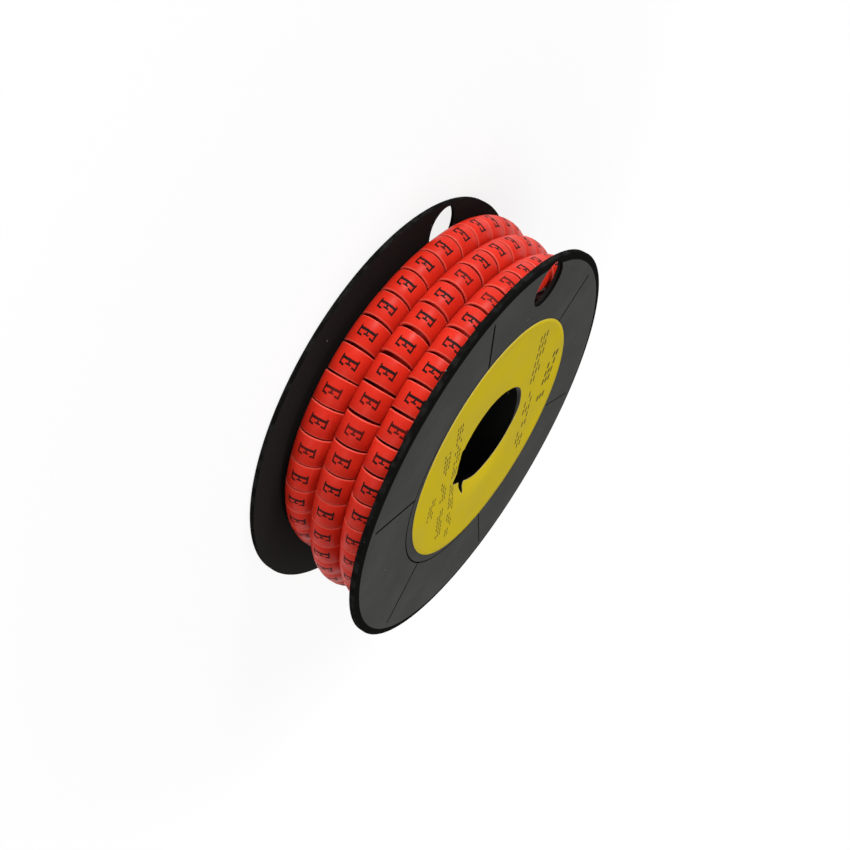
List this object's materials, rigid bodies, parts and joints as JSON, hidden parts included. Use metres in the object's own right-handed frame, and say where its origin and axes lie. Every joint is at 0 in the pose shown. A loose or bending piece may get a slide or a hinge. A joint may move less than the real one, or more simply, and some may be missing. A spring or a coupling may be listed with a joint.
{
  "type": "cable marker reel",
  "caption": "Flat plastic reel holding a wound strip of slit marker tubes, printed with a letter, with a paper label and a spindle bore.",
  "frame": {"origin": "on the reel's axis, in the plane that the lower flange's rim rests on", "axes": "+Z along the reel's axis towards the labelled flange, +X away from the side that the label is shifted to"},
  "size_m": [0.08, 0.08, 0.0227],
  "materials": {
    "reel_plastic": "satin moulded plastic",
    "marker_pvc": "soft satin PVC with black print",
    "label_paper": "matt printed paper"
  },
  "bodies": {
    "root": {"lower_flange": "reel_plastic", "upper_flange": "reel_plastic", "marker_strip": "marker_pvc", "face_label": "label_paper"}
  },
  "joints": []
}
